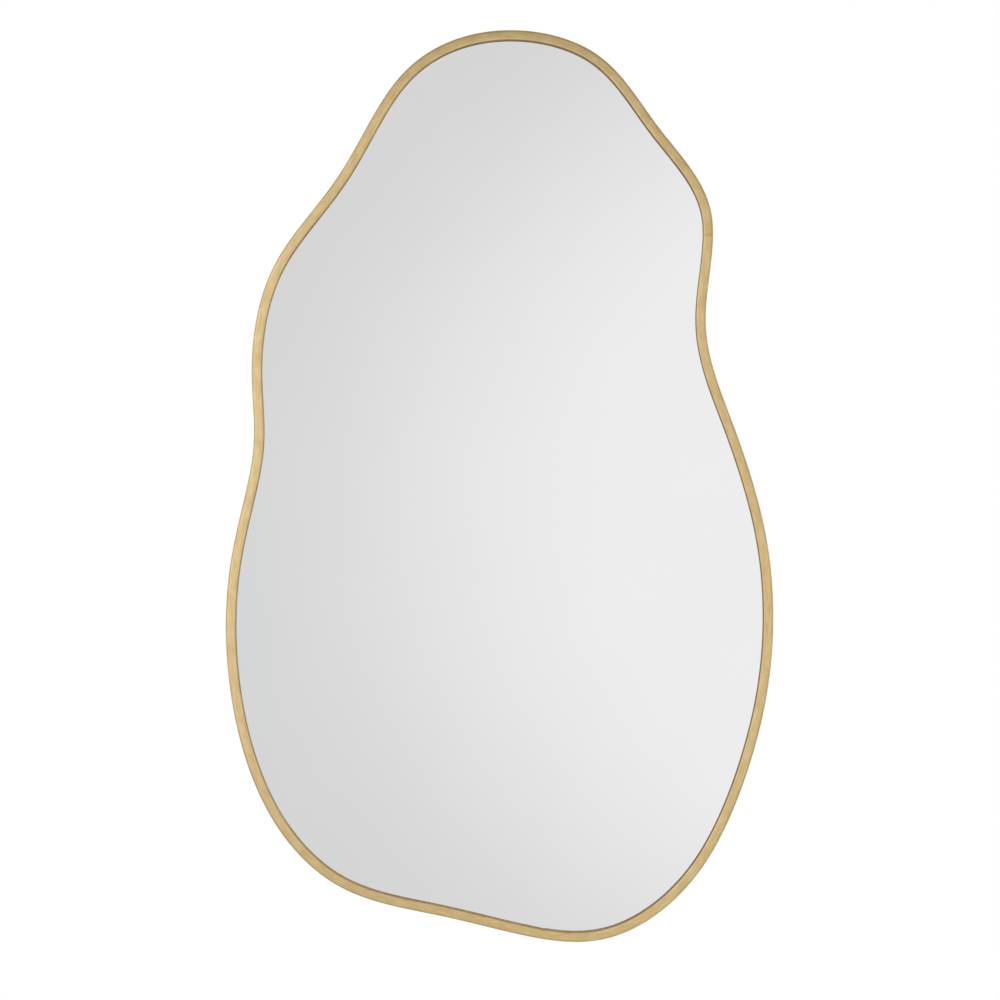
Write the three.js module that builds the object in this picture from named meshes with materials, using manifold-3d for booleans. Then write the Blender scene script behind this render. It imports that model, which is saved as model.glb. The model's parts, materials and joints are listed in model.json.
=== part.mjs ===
// Wall mirror with an irregular, pebble-like outline in a slim folded-metal frame.
//
// The mirror is drawn as it hangs, seen from the front, in millimetres: x to the right, y up and
// z out of the wall, with z = 0 on the wall and y = 0 where the two wall hooks carry the rings.
// The finished drawing is turned upright at the end, so that +Z is up and the front faces -Y.

import * as THREE from 'three';
import { mergeVertices } from 'three/addons/utils/BufferGeometryUtils.js';
import Module from 'manifold-3d';

const wasm = await Module();
wasm.setup();

// ---------------------------------------------------------------- driving dimensions

// Overall
const WIDTH = 610;
const HEIGHT = 1016;
const FRAME_DEPTH = 25;
const WALL_STANDOFF = 1; // the bumpers hold the frame this far off the wall
const HOOKS_ABOVE_MIDDLE = 260; // height of the wall hooks over the middle of the outline

// Clearances: between flat pieces that bear on each other, and along the frame's curved wall
const GAP = 0.25;
const WALL_PLAY = 0.4;

// Frame strip, folded to a J: outer wall, face, and a return towards the glass
const FACE_WIDTH = 11;
const FRAME_SHEET = 1.5;
const RETURN_DEPTH = 5.5;
const FOLD_RADIUS = 1.2;
const SEAM_GAP = 0.3;
const SIDE_SEAM = 0.8182; // where the two lengths of strip meet, as fractions of the way round
const BOTTOM_SEAM = 0.4646;

// Splice keys behind the seams
const SPLICE_SHEET = 1.5;
const SPLICE_LENGTH = 60;
const RIM_MARGIN = 1; // inner sheet metal stops this far short of the frame's back rim

// Glass, foam tape and backing board
const EDGE_PLAY = 0.5; // round the glass and the board, inside the splice keys
const GLASS_THICKNESS = 4;
const GLASS_ARRIS = 0.5;
const TAPE_THICKNESS = 1;
const TAPE_WIDTH = 30;
const TAPE_MARGIN = 30;
const TAPE_COUNT = 6;
const BOARD_THICKNESS = 6;
const PILOT_CLEARANCE = 0.25; // round a screw in the board
const PILOT_COVER = 1; // board left in front of a screw's tip

// Retaining tabs, fixed to the frame's wall and screwed to the board
const TAB_SHEET = 1.5;
const TAB_WIDTH = 20;
const TAB_REACH = 14;
const TAB_CORNER = 3;
const TAB_SCREW_FROM_END = 6;
const TABS_ON_LEFT_RAIL = 6;
const TABS_ON_RIGHT_RAIL = 4;

// Screws: shank and head radii, head height
const TAB_SCREW = { shank: 1.5, head: 3.2, rise: 1.8 };
const HANGER_SCREW = { shank: 1.75, head: 3.6, rise: 2 };
const SCREW_POINT = 1.6; // length of the tapered point
const SCREW_HOLE_CLEARANCE = 0.35; // round a screw in a tab or a strap

// Ring hangers: a strap folded round the straight bar of a D-shaped wire ring
const HANGER_SPACING = 340;
const STRAP_SHEET = 1.2;
const STRAP_WIDTH = 14;
const STRAP_LENGTH = 32;
const STRAP_HOLES = [9, 25]; // from the ring's bar
const RING_WIRE = 2.5;
const RING_PLAY = 0.3;
const RING_SIDE_PLAY = 1.5;
const RING_REACH = 15; // from the bar's axis to the inside of the bow
const RING_CORNER = 2.5;
const RING_JOINT = 0.4; // where the bent wire's ends meet, inside the fold

// Bumpers: rubber buttons on the board that rest on the wall
const BUMPER_RADIUS = 6.5;
const BUMPER_TIP_RADIUS = 5;
const BUMPER_ROUNDING = 1;
const BUMPER_INSET = 34; // from the outside of the frame

// Facets
const OUTLINE_SAMPLES = 4000; // in measuring the outline's length and size
const STATIONS = 180; // round the whole outline
const CORNER_FACETS = 4;
const STRAP_FACETS = 12; // in the strap's fold, its bore and its round end
const TURNED_EDGE_FACETS = 2; // in the rounded edge of a screw head or a bumper
const SCREW_FACETS = 12;
const BUMPER_FACETS = 20;
const WIRE_FACETS = 8;
const RING_STEPS = 46;
const OVERCUT = 1; // cutting shapes run this far past what they cut

// Planes, by distance from the wall
const FACE_PLANE = WALL_STANDOFF + FRAME_DEPTH;
const GLASS_FRONT = FACE_PLANE - RETURN_DEPTH - GAP;
const GLASS_BACK = GLASS_FRONT - GLASS_THICKNESS;
const TAPE_BACK = GLASS_BACK - GAP - TAPE_THICKNESS;
const BOARD_FRONT = TAPE_BACK - GAP;
const BOARD_BACK = BOARD_FRONT - BOARD_THICKNESS;
const HARDWARE_PLANE = BOARD_BACK - GAP;

// Insets from the outside of the frame
const INSIDE_WALL = FRAME_SHEET + WALL_PLAY;
const EDGE_INSET = INSIDE_WALL + SPLICE_SHEET + EDGE_PLAY;

// ---------------------------------------------------------------- outline

// Control points of a closed cubic B-spline, anticlockwise from the top, measured from the
// middle of the outline. The spline is then stretched to the overall width and height.
const OUTLINE_CONTROL = [
  [-8, 519], [-119, 472], [-172, 340], [-265, 250], [-282, 121], [-266, 41],
  [-307, -84], [-307, -226], [-269, -365], [-184, -460], [-63, -477],
  [50, -510], [137, -511], [234, -435], [289, -290], [308, -180],
  [303, -57], [261, 72], [215, 178], [257, 313], [172, 397], [120, 493],
];

class ClosedSpline extends THREE.Curve {
  constructor(control) {
    super();
    this.control = control;
    this.arcLengthDivisions = OUTLINE_SAMPLES;
  }

  blend(t, weightsAt, target) {
    const count = this.control.length;
    const along = THREE.MathUtils.euclideanModulo(t, 1) * count;
    const span = Math.floor(along);
    target.set(0, 0, 0);
    weightsAt(along - span).forEach((weight, k) => {
      target.addScaledVector(this.control[(span + k) % count], weight / 6);
    });
    return target;
  }

  getPoint(t, target = new THREE.Vector3()) {
    const weightsAt = (u) => [
      (1 - u) ** 3,
      3 * u ** 3 - 6 * u ** 2 + 4,
      -3 * u ** 3 + 3 * u ** 2 + 3 * u + 1,
      u ** 3,
    ];
    return this.blend(t, weightsAt, target);
  }

  getTangent(t, target = new THREE.Vector3()) {
    const slopesAt = (u) => [
      -3 * (1 - u) ** 2,
      9 * u ** 2 - 12 * u,
      -9 * u ** 2 + 6 * u + 3,
      3 * u ** 2,
    ];
    return this.blend(t, slopesAt, target).normalize();
  }
}

function stretchedOutline() {
  const control = OUTLINE_CONTROL.map(([x, y]) => new THREE.Vector3(x, y, 0));
  const points = new ClosedSpline(control).getPoints(OUTLINE_SAMPLES);
  const drawn = new THREE.Box3().setFromPoints(points);
  const size = drawn.getSize(new THREE.Vector3());
  const middle = drawn.getCenter(new THREE.Vector3());
  const scale = new THREE.Vector3(WIDTH / size.x, HEIGHT / size.y, 1);
  control.forEach((point) => {
    point.sub(middle).multiply(scale);
    point.y -= HOOKS_ABOVE_MIDDLE;
  });
  return new ClosedSpline(control);
}

const OUTLINE = stretchedOutline();
const PERIMETER = OUTLINE.getLength();

const wrap = (along) => THREE.MathUtils.euclideanModulo(along, 1);

// A point inside the frame, by its way round the outline and its inset from the outside.
function pointInside(along, inset) {
  const tangent = OUTLINE.getTangentAt(wrap(along));
  const point = OUTLINE.getPointAt(wrap(along));
  return point.add(new THREE.Vector3(-tangent.y, tangent.x, 0).multiplyScalar(inset));
}

function insetPoints(inset, count) {
  return Array.from({ length: count }, (_, i) => pointInside(i / count, inset));
}

// A stretch of the outline at the frame's face. Swept along it, a section's x is the depth
// behind the face and its y is the inset from the outside of the frame.
class Stretch extends THREE.Curve {
  constructor(from, to) {
    super();
    this.from = from;
    this.to = to;
  }

  getPoint(t, target = new THREE.Vector3()) {
    return OUTLINE.getPointAt(wrap(THREE.MathUtils.lerp(this.from, this.to, t)), target)
      .setZ(FACE_PLANE);
  }

  getTangent(t, target = new THREE.Vector3()) {
    return OUTLINE.getTangentAt(wrap(THREE.MathUtils.lerp(this.from, this.to, t)), target);
  }
}

// An arc of a shape or a path gets two facets for each curve segment.
const curveSegments = (facets) => facets / 2;

function sweep(section, from, to) {
  return new THREE.ExtrudeGeometry(section, {
    steps: Math.ceil((to - from) * STATIONS),
    curveSegments: curveSegments(CORNER_FACETS),
    extrudePath: new Stretch(from, to),
  });
}

// ---------------------------------------------------------------- solids

function toSolid(geometry) {
  const bare = geometry.clone();
  bare.deleteAttribute('normal');
  bare.deleteAttribute('uv');
  const merged = mergeVertices(bare);
  return new wasm.Manifold(new wasm.Mesh({
    numProp: 3,
    vertProperties: merged.attributes.position.array,
    triVerts: new Uint32Array(merged.index.array),
  }));
}

function toGeometry(solid) {
  const mesh = solid.getMesh();
  const geometry = new THREE.BufferGeometry();
  geometry.setAttribute('position', new THREE.BufferAttribute(mesh.vertProperties, 3));
  geometry.setIndex(new THREE.BufferAttribute(mesh.triVerts, 1));
  return geometry;
}

// A round bar along z, from one height to another.
function roundBar(radius, from, to, x, y) {
  return new THREE.CylinderGeometry(radius, radius, to - from, SCREW_FACETS)
    .rotateX(Math.PI / 2)
    .translate(x, y, (from + to) / 2);
}

// A profile of radius and depth, turned round the z axis.
function turned(profile, facets) {
  const points = profile.getPoints(curveSegments(TURNED_EDGE_FACETS));
  return new THREE.LatheGeometry(points, facets).rotateX(Math.PI / 2);
}

// ---------------------------------------------------------------- materials

const finish = (color, roughness, metalness) => ({ color, roughness, metalness });
const BRUSHED_BRASS = finish('#cdb179', 0.32, 1);
const SILVERED_GLASS = finish('#e4e6e6', 0.03, 1);
const WHITE_FOAM = finish('#e8e6df', 0.9, 0);
const BLACK_BOARD = finish('#2b2826', 0.8, 0);
const ZINC_STEEL = finish('#b9bcc0', 0.35, 1);
const GREY_RUBBER = finish('#3c3d3f', 0.75, 0);

function piece(name, geometry, look) {
  const mesh = new THREE.Mesh(geometry, new THREE.MeshStandardMaterial(look));
  mesh.name = name;
  return mesh;
}

// ---------------------------------------------------------------- frame

const RAILS = [
  { name: 'frame_rail_right', from: BOTTOM_SEAM, to: SIDE_SEAM, tabs: TABS_ON_RIGHT_RAIL },
  { name: 'frame_rail_left', from: SIDE_SEAM, to: BOTTOM_SEAM + 1, tabs: TABS_ON_LEFT_RAIL },
];

function railSection() {
  const section = new THREE.Shape();
  const r = FOLD_RADIUS;
  section.moveTo(FRAME_DEPTH, 0);
  section.lineTo(r, 0);
  section.absarc(r, r, r, -Math.PI / 2, Math.PI, true);
  section.lineTo(0, FACE_WIDTH - r);
  section.absarc(r, FACE_WIDTH - r, r, Math.PI, Math.PI / 2, true);
  section.lineTo(RETURN_DEPTH, FACE_WIDTH);
  section.lineTo(RETURN_DEPTH, FACE_WIDTH - FRAME_SHEET);
  section.lineTo(FRAME_SHEET, FACE_WIDTH - FRAME_SHEET);
  section.lineTo(FRAME_SHEET, FRAME_SHEET);
  section.lineTo(FRAME_DEPTH, FRAME_SHEET);
  return section;
}

function rails() {
  const halfGap = SEAM_GAP / 2 / PERIMETER;
  return RAILS.map(({ name, from, to }) => (
    piece(name, sweep(railSection(), from + halfGap, to - halfGap), BRUSHED_BRASS)
  ));
}

// An L that backs the face and the wall on both sides of a seam.
function spliceSection() {
  const behindFace = FRAME_SHEET + GAP;
  const inner = FACE_WIDTH - INSIDE_WALL;
  const section = new THREE.Shape();
  section.moveTo(behindFace, INSIDE_WALL);
  section.lineTo(FRAME_DEPTH - RIM_MARGIN, INSIDE_WALL);
  section.lineTo(FRAME_DEPTH - RIM_MARGIN, INSIDE_WALL + SPLICE_SHEET);
  section.lineTo(behindFace + SPLICE_SHEET, INSIDE_WALL + SPLICE_SHEET);
  section.lineTo(behindFace + SPLICE_SHEET, inner);
  section.lineTo(behindFace, inner);
  return section;
}

function splices() {
  const half = SPLICE_LENGTH / 2 / PERIMETER;
  return [['splice_key_bottom', BOTTOM_SEAM], ['splice_key_side', SIDE_SEAM]].map(([name, at]) => (
    piece(name, sweep(spliceSection(), at - half, at + half), ZINC_STEEL)
  ));
}

// ---------------------------------------------------------------- glass, tape and board

function plate(inset, back, front, arris) {
  const shape = new THREE.Shape(insetPoints(inset, STATIONS));
  return new THREE.ExtrudeGeometry(shape, {
    depth: front - back - 2 * arris,
    bevelEnabled: arris > 0,
    bevelThickness: arris,
    bevelSize: arris,
    bevelOffset: -arris,
    bevelSegments: 1,
  }).translate(0, 0, back + arris);
}

function glass() {
  return piece('mirror_glass', plate(EDGE_INSET, GLASS_BACK, GLASS_FRONT, GLASS_ARRIS), SILVERED_GLASS);
}

// Strips of foam tape across the board, each as long as the outline allows at its height.
function tapes() {
  const edge = insetPoints(EDGE_INSET + TAPE_MARGIN, 4 * STATIONS);
  const heights = edge.map((point) => point.y);
  const bottom = Math.min(...heights);
  const top = Math.max(...heights);
  return Array.from({ length: TAPE_COUNT }, (_, i) => {
    const y = THREE.MathUtils.lerp(bottom, top, (i + 0.5) / TAPE_COUNT);
    const beside = edge.filter((point) => Math.abs(point.y - y) < TAPE_WIDTH / 2);
    const middle = THREE.MathUtils.lerp(
      Math.min(...beside.map((point) => point.x)),
      Math.max(...beside.map((point) => point.x)),
      0.5,
    );
    const left = Math.max(...beside.filter((point) => point.x < middle).map((point) => point.x));
    const right = Math.min(...beside.filter((point) => point.x > middle).map((point) => point.x));
    const strip = new THREE.BoxGeometry(right - left, TAPE_WIDTH, TAPE_THICKNESS);
    const mesh = piece(`foam_tape_${i + 1}`, strip, WHITE_FOAM);
    mesh.position.set((left + right) / 2, y, TAPE_BACK + TAPE_THICKNESS / 2);
    return mesh;
  });
}

// The board, with a pilot hole for every screw.
function board(screws) {
  let solid = toSolid(plate(EDGE_INSET, BOARD_BACK, BOARD_FRONT, 0));
  screws.forEach(({ x, y, size }) => {
    const radius = size.shank + PILOT_CLEARANCE;
    const bore = roundBar(radius, BOARD_BACK - OVERCUT, BOARD_FRONT - PILOT_COVER + GAP, x, y);
    solid = solid.subtract(toSolid(bore));
  });
  return piece('backing_board', toGeometry(solid), BLACK_BOARD);
}

// ---------------------------------------------------------------- screws

// A screw driven from the wall side. Its head stands on a plane of the given height, and is
// rounded over its whole rise, with a flat top.
function screw(name, { x, y, seat, size }) {
  const underHead = seat - GAP;
  const length = BOARD_FRONT - PILOT_COVER - underHead;
  const flatTop = size.head - size.rise;
  const profile = new THREE.Path();
  profile.moveTo(0, -size.rise);
  profile.lineTo(flatTop, -size.rise);
  profile.absarc(flatTop, 0, size.rise, -Math.PI / 2, 0, false);
  profile.lineTo(size.shank, 0);
  profile.lineTo(size.shank, length - SCREW_POINT);
  profile.lineTo(0, length);
  const mesh = piece(name, turned(profile, SCREW_FACETS), ZINC_STEEL);
  mesh.position.set(x, y, underHead);
  return mesh;
}

// ---------------------------------------------------------------- retaining tabs

const TAB_STATIONS = RAILS.flatMap(({ from, to, tabs: count }) => (
  Array.from({ length: count }, (_, i) => wrap(THREE.MathUtils.lerp(from, to, (i + 0.5) / count)))
));

const TAB_SCREWS = TAB_STATIONS.map((along) => {
  const { x, y } = pointInside(along, INSIDE_WALL + TAB_REACH - TAB_SCREW_FROM_END);
  return { x, y, seat: HARDWARE_PLANE - TAB_SHEET, size: TAB_SCREW };
});

// An L: one leg lies against the frame's wall, the foot lies on the back of the board.
function tabSection() {
  const foot = FACE_PLANE - HARDWARE_PLANE;
  const section = new THREE.Shape();
  section.moveTo(foot, INSIDE_WALL + TAB_REACH);
  section.lineTo(foot, INSIDE_WALL + TAB_SHEET);
  section.absarc(foot + TAB_SHEET, INSIDE_WALL + TAB_SHEET, TAB_SHEET, Math.PI, Math.PI * 1.5, false);
  section.lineTo(FRAME_DEPTH - RIM_MARGIN, INSIDE_WALL);
  section.lineTo(FRAME_DEPTH - RIM_MARGIN, INSIDE_WALL + TAB_SHEET);
  section.lineTo(foot + TAB_SHEET, INSIDE_WALL + TAB_SHEET);
  section.lineTo(foot + TAB_SHEET, INSIDE_WALL + TAB_REACH);
  return section;
}

// The tab's flat blank seen from the back, with x as the inset: its free corners are round.
function tabBlank(along) {
  const end = INSIDE_WALL + TAB_REACH;
  const half = TAB_WIDTH / 2;
  const blank = new THREE.Shape();
  blank.moveTo(0, -half);
  blank.lineTo(end - TAB_CORNER, -half);
  blank.absarc(end - TAB_CORNER, TAB_CORNER - half, TAB_CORNER, -Math.PI / 2, 0, false);
  blank.absarc(end - TAB_CORNER, half - TAB_CORNER, TAB_CORNER, 0, Math.PI / 2, false);
  blank.lineTo(0, half);
  const at = pointInside(along, 0);
  const inwards = pointInside(along, 1).sub(at);
  return new THREE.ExtrudeGeometry(blank, {
    depth: FACE_PLANE,
    curveSegments: curveSegments(CORNER_FACETS),
    bevelEnabled: false,
  })
    .rotateZ(Math.atan2(inwards.y, inwards.x))
    .translate(at.x, at.y, 0);
}

// Each tab is cut by its blank out of a stretch of folded sheet twice as long.
function tabs() {
  const half = TAB_WIDTH / PERIMETER;
  return TAB_STATIONS.map((along, i) => {
    const { x, y, size } = TAB_SCREWS[i];
    const hole = roundBar(size.shank + SCREW_HOLE_CLEARANCE, 0, FACE_PLANE, x, y);
    const solid = toSolid(sweep(tabSection(), along - half, along + half))
      .intersect(toSolid(tabBlank(along)))
      .subtract(toSolid(hole));
    return piece(`retaining_tab_${i + 1}`, toGeometry(solid), ZINC_STEEL);
  });
}

// ---------------------------------------------------------------- ring hangers

const BAR_RADIUS = RING_WIRE / 2;
const BOW_RADIUS = STRAP_WIDTH / 2 + RING_SIDE_PLAY + BAR_RADIUS;
const BOW_CENTRE = BOW_RADIUS - RING_REACH - BAR_RADIUS;
const FOLD_INNER = BAR_RADIUS + RING_PLAY;
const FOLD_OUTER = FOLD_INNER + STRAP_SHEET;
const FOLD_TURN = THREE.MathUtils.degToRad(135); // of its outside, up from the wall's normal
const BAR_HEIGHT = -RING_REACH;
const BAR_PLANE = HARDWARE_PLANE - FOLD_OUTER;
const HANGERS = [
  { side: 'left', x: -HANGER_SPACING / 2 },
  { side: 'right', x: HANGER_SPACING / 2 },
];

const HANGER_SCREWS = HANGERS.flatMap(({ side, x }) => (
  STRAP_HOLES.map((below, i) => ({
    name: `hanger_screw_${side}_${i === 0 ? 'upper' : 'lower'}`,
    x,
    y: BAR_HEIGHT - below,
    seat: HARDWARE_PLANE - 2 * STRAP_SHEET,
    size: HANGER_SCREW,
  }))
));

// The strap from the side, with the bar's axis at the origin, x up the wall and y towards the
// wall: two leaves of sheet, and the fold that wraps the bar.
function strapSide() {
  const leaves = 2 * STRAP_SHEET - FOLD_OUTER;
  const onFold = new THREE.Vector2(Math.cos(FOLD_TURN), Math.sin(FOLD_TURN));
  onFold.multiplyScalar(FOLD_OUTER);
  const side = new THREE.Shape();
  side.moveTo(-STRAP_LENGTH, -FOLD_OUTER);
  side.lineTo(0, -FOLD_OUTER);
  side.absarc(0, 0, FOLD_OUTER, -Math.PI / 2, FOLD_TURN, false);
  side.lineTo(onFold.x - (onFold.y - leaves), leaves);
  side.lineTo(-STRAP_LENGTH, leaves);
  side.holes.push(new THREE.Path().absarc(0, 0, FOLD_INNER, 0, Math.PI * 2, true));
  return side;
}

// The strap seen from the back: square across the fold, with a round lower end.
function strapBlank() {
  const half = STRAP_WIDTH / 2;
  const blank = new THREE.Shape();
  blank.moveTo(half, FOLD_OUTER + OVERCUT);
  blank.lineTo(-half, FOLD_OUTER + OVERCUT);
  blank.lineTo(-half, half - STRAP_LENGTH);
  blank.absarc(0, half - STRAP_LENGTH, half, Math.PI, Math.PI * 2, false);
  const depth = 2 * (FOLD_OUTER + OVERCUT);
  return new THREE.ExtrudeGeometry(blank, {
    depth,
    curveSegments: curveSegments(STRAP_FACETS),
    bevelEnabled: false,
  }).translate(0, 0, -depth / 2);
}

// A hanger stands in a group whose origin is on the bar's axis.
function strap({ side }) {
  const width = STRAP_WIDTH + 2 * OVERCUT;
  const through = FOLD_OUTER + OVERCUT;
  const folded = new THREE.ExtrudeGeometry(strapSide(), {
    depth: width,
    curveSegments: curveSegments(STRAP_FACETS),
    bevelEnabled: false,
  });
  const axes = new THREE.Matrix4().makeBasis(
    new THREE.Vector3(0, 1, 0),
    new THREE.Vector3(0, 0, -1),
    new THREE.Vector3(-1, 0, 0),
  );
  folded.applyMatrix4(axes).translate(width / 2, 0, 0);
  let solid = toSolid(folded).intersect(toSolid(strapBlank()));
  STRAP_HOLES.forEach((below) => {
    const radius = HANGER_SCREW.shank + SCREW_HOLE_CLEARANCE;
    solid = solid.subtract(toSolid(roundBar(radius, -through, through, 0, -below)));
  });
  return piece(`hanger_strap_${side}`, toGeometry(solid), ZINC_STEEL);
}

// The ring's centre line: from the joint along the bar, down and round the bow, and back.
class RingLine extends THREE.Curve {
  constructor() {
    super();
    const corner = BOW_RADIUS - RING_CORNER;
    const line = new THREE.Path();
    line.moveTo(RING_JOINT / 2, 0);
    line.lineTo(corner, 0);
    line.absarc(corner, -RING_CORNER, RING_CORNER, Math.PI / 2, 0, true);
    line.lineTo(BOW_RADIUS, BOW_CENTRE);
    line.absarc(0, BOW_CENTRE, BOW_RADIUS, 0, -Math.PI, true);
    line.lineTo(-BOW_RADIUS, -RING_CORNER);
    line.absarc(-corner, -RING_CORNER, RING_CORNER, Math.PI, Math.PI / 2, true);
    line.lineTo(-RING_JOINT / 2, 0);
    this.line = line;
  }

  getPoint(t, target = new THREE.Vector3()) {
    const point = this.line.getPointAt(t);
    return target.set(point.x, point.y, 0);
  }
}

// The ring hangs down over the strap, and its bow leans on the strap's edges.
function ring({ side }) {
  const wire = new THREE.Shape().absarc(0, 0, BAR_RADIUS, 0, Math.PI * 2, false);
  const geometry = new THREE.ExtrudeGeometry(wire, {
    steps: RING_STEPS,
    curveSegments: curveSegments(WIRE_FACETS),
    extrudePath: new RingLine(),
  });
  const overStrap = 2 * STRAP_SHEET + GAP + BAR_RADIUS - FOLD_OUTER;
  const downToEdge = Math.sqrt(BOW_RADIUS ** 2 - (STRAP_WIDTH / 2) ** 2) - BOW_CENTRE;
  const mesh = piece(`hanger_ring_${side}`, geometry, ZINC_STEEL);
  mesh.rotation.x = Math.asin(overStrap / downToEdge);
  return mesh;
}

function hangers() {
  return HANGERS.map((hanger) => {
    const group = new THREE.Group();
    group.add(strap(hanger), ring(hanger));
    group.position.set(hanger.x, BAR_HEIGHT, BAR_PLANE);
    return group;
  });
}

// ---------------------------------------------------------------- bumpers

const BUMPERS = [
  { name: 'bumper_top_left', along: 0.034 },
  { name: 'bumper_bottom_left', along: 0.348 },
  { name: 'bumper_bottom_right', along: 0.554 },
  { name: 'bumper_top_right', along: 0.854 },
];

function bumpers() {
  const flatTip = BUMPER_TIP_RADIUS - BUMPER_ROUNDING;
  const profile = new THREE.Path();
  profile.moveTo(0, 0);
  profile.lineTo(flatTip, 0);
  profile.absarc(flatTip, BUMPER_ROUNDING, BUMPER_ROUNDING, -Math.PI / 2, 0, false);
  profile.lineTo(BUMPER_RADIUS, HARDWARE_PLANE);
  profile.lineTo(0, HARDWARE_PLANE);
  return BUMPERS.map(({ name, along }) => {
    const { x, y } = pointInside(along, BUMPER_INSET);
    const mesh = piece(name, turned(profile, BUMPER_FACETS), GREY_RUBBER);
    mesh.position.set(x, y, 0);
    return mesh;
  });
}

// ---------------------------------------------------------------- assembly

const mirror = new THREE.Group();
mirror.add(
  ...rails(),
  ...splices(),
  glass(),
  ...tapes(),
  board([...TAB_SCREWS, ...HANGER_SCREWS]),
  ...tabs(),
  ...TAB_SCREWS.map((place, i) => screw(`tab_screw_${i + 1}`, place)),
  ...hangers(),
  ...HANGER_SCREWS.map((place) => screw(place.name, place)),
  ...bumpers(),
);
mirror.rotation.x = Math.PI / 2;

export default mirror;
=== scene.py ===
"""A wall mirror with an irregular, pebble-like outline in a slim frame of brushed brass finish.

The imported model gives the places; this script gives the fine surfaces and the finishes. Lengths
are in metres. The mirror faces -Y, +X is to the right seen from the front, and the wall is y = 0.
"""
import json
import math

import bmesh
import bpy
import numpy as np
from mathutils import Matrix, Vector

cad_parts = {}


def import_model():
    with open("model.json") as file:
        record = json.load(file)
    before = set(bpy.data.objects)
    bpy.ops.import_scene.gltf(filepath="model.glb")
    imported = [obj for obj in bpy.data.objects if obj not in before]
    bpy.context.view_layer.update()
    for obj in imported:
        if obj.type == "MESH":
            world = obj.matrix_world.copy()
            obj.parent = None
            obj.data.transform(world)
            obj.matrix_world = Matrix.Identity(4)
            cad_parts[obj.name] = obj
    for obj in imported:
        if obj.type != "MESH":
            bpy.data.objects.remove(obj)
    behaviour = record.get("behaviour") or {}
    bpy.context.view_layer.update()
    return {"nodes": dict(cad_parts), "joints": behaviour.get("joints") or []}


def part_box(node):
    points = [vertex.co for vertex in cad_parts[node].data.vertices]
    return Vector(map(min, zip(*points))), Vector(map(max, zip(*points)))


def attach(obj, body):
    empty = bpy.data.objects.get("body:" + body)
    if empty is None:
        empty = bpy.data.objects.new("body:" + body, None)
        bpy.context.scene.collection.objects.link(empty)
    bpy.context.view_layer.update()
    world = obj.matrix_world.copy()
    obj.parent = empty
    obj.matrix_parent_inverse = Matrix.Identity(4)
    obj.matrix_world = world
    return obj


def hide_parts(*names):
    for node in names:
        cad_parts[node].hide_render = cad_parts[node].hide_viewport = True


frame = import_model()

MM = 0.001

# ---------------------------------------------------------------- sizes, as in the solid model

FACE_WIDTH = 11 * MM
FRAME_SHEET = 1.5 * MM
RETURN_DEPTH = 5.5 * MM
FOLD_RADIUS = 1.2 * MM
SIDE_SEAM = 0.8182  # where the two lengths of strip meet, as fractions of the way round
BOTTOM_SEAM = 0.4646
WALL_PLAY = 0.4 * MM
SPLICE_SHEET = 1.5 * MM
SPLICE_LENGTH = 60 * MM
EDGE_PLAY = 0.5 * MM
RIM_MARGIN = 1 * MM
GAP = 0.25 * MM
GLASS_ARRIS = 0.5 * MM
TAB_SHEET = 1.5 * MM
TAB_WIDTH = 20 * MM
TAB_REACH = 14 * MM
TAB_CORNER = 3 * MM
TAB_BEND = 1.1 * MM  # radius of the bend, in the middle of the sheet
TABS_ON_LEFT_RAIL = 6
TABS_ON_RIGHT_RAIL = 4
SCREW_HOLE_CLEARANCE = 0.35 * MM
TAB_SCREW = {"shank": 1.5 * MM, "rise": 1.8 * MM}
HANGER_SCREW = {"shank": 1.75 * MM, "rise": 2 * MM}
SCREW_POINT = 1.6 * MM
STRAP_SHEET = 1.2 * MM
STRAP_WIDTH = 14 * MM
STRAP_LENGTH = 32 * MM
STRAP_HOLES = (9 * MM, 25 * MM)  # from the ring's bar
RING_WIRE = 2.5 * MM
RING_PLAY = 0.3 * MM
RING_SIDE_PLAY = 1.5 * MM
RING_REACH = 15 * MM
RING_CORNER = 2.5 * MM
RING_JOINT = 0.4 * MM
BUMPER_TIP_RADIUS = 5 * MM
BUMPER_ROUNDING = 1 * MM
BUMPER_SKIRT = 0.9 * MM  # the straight side at its foot
BUMPER_CHAMFER = 0.3 * MM
BUMPER_STEP = 0.1 * MM  # from the skirt in to the cone
SOFT_EDGE = 0.15 * MM  # on pressed sheet
HOLE_MARGIN = 1 * MM  # how far a cutting tool stands past a surface

INSIDE_WALL = FRAME_SHEET + WALL_PLAY
EDGE_INSET = INSIDE_WALL + SPLICE_SHEET + EDGE_PLAY

# Control points of the outline, a closed cubic B-spline, anticlockwise from the top, in
# millimetres from its middle. It is then stretched to the frame's box.
OUTLINE_CONTROL = [
    [-8, 519], [-119, 472], [-172, 340], [-265, 250], [-282, 121], [-266, 41],
    [-307, -84], [-307, -226], [-269, -365], [-184, -460], [-63, -477],
    [50, -510], [137, -511], [234, -435], [289, -290], [308, -180],
    [303, -57], [261, 72], [215, 178], [257, 313], [172, 397], [120, 493],
]
OUTLINE_SAMPLES = 40000

# ---------------------------------------------------------------- planes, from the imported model

RAILS = ("frame_rail_left", "frame_rail_right")


def joined_box(*nodes):
    boxes = np.array([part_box(node) for node in nodes])
    return boxes[:, 0].min(0), boxes[:, 1].max(0)


FRAME_LOW, FRAME_HIGH = joined_box(*RAILS)
FACE_Y = FRAME_LOW[1]
FRAME_DEPTH = FRAME_HIGH[1] - FACE_Y
GLASS_Y = [corner[1] for corner in joined_box("mirror_glass")]
BOARD_Y = [corner[1] for corner in joined_box("backing_board")]
HARDWARE_DEPTH = BOARD_Y[1] + GAP - FACE_Y

# ---------------------------------------------------------------- outline


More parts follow.
